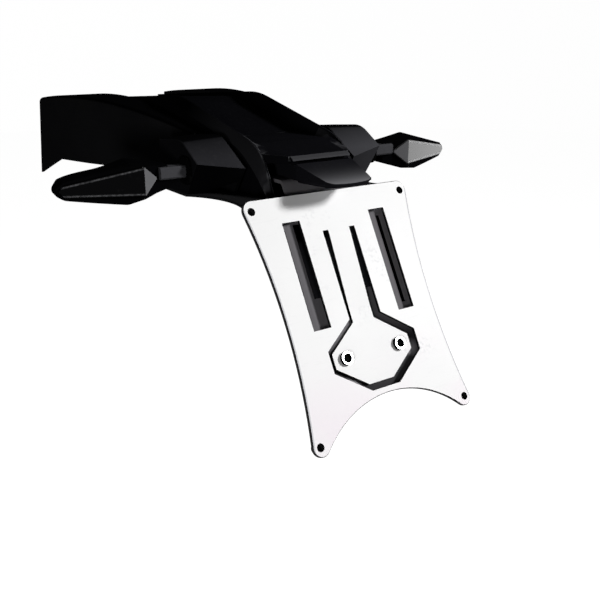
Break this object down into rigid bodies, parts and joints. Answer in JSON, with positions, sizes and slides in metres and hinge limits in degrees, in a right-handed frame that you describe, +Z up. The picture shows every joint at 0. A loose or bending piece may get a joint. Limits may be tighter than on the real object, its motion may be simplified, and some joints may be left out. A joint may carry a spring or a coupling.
{
  "type": "tail tidy",
  "caption": "Motorbike tail unit with finned cowl, side pods, stalk indicators, plate lamp hood and a slotted leaning number plate carrier on a folded support.",
  "frame": {"origin": "centre of the four subframe bolt holes, on the upper face of the mounting bracket", "axes": "+X to the rider's right, +Y forward, +Z up"},
  "size_m": [0.4224, 0.5617, 0.2552],
  "materials": {
    "cowl_plastic": "moulded black, fine grain",
    "panel_plastic": "moulded black, semi-gloss",
    "cover_plastic": "moulded black",
    "pod_plastic": "moulded black, fine grain",
    "tray_plastic": "moulded black, plain",
    "hood_plastic": "moulded black, satin",
    "bracket_paint": "black powder coat on steel",
    "support_paint": "black powder coat on steel",
    "carrier_white": "white face on sheet metal with dark cut edges",
    "screw_steel": "zinc-plated steel",
    "dark_screw": "black zinc-plated steel",
    "base_rubber": "moulded black rubber",
    "shell_plastic": "moulded black, polished",
    "stalk_plastic": "moulded black, satin",
    "smoked_lens": "smoked, polished",
    "clear_lens": "clear moulded plastic",
    "circuit_board": "green solder mask"
  },
  "bodies": {
    "root": {"tail_cowl": "cowl_plastic", "spine_panel": "panel_plastic", "left_side_cover": "cover_plastic", "right_side_cover": "cover_plastic", "left_indicator_pod": "pod_plastic", "right_indicator_pod": "pod_plastic", "undertray": "tray_plastic", "mount_bracket": "bracket_paint", "plate_support": "support_paint", "carrier_plate": "carrier_white", "lamp_hood": "hood_plastic", "lamp_lens": "clear_lens", "lamp_board": "circuit_board", "lamp_screws": "screw_steel", "plate_screws": "screw_steel", "corner_nuts": "dark_screw", "back_cover": "tray_plastic", "back_cover_screws": "screw_steel", "plate_washers": "screw_steel", "plate_nuts": "screw_steel", "support_bolts": "screw_steel", "support_nuts": "screw_steel", "tray_spacers": "screw_steel", "tray_bolts": "screw_steel", "tray_nuts": "screw_steel", "cowl_screws": "screw_steel", "pod_screws": "screw_steel", "cover_screws": "screw_steel", "left_indicator_base": "base_rubber", "left_indicator_stalk": "stalk_plastic", "left_stalk_nut": "screw_steel", "left_indicator_shell": "shell_plastic", "left_indicator_lens": "smoked_lens", "left_indicator_board": "circuit_board", "right_indicator_base": "base_rubber", "right_indicator_stalk": "stalk_plastic", "right_stalk_nut": "screw_steel", "right_indicator_shell": "shell_plastic", "right_indicator_lens": "smoked_lens", "right_indicator_board": "circuit_board"}
  },
  "joints": []
}
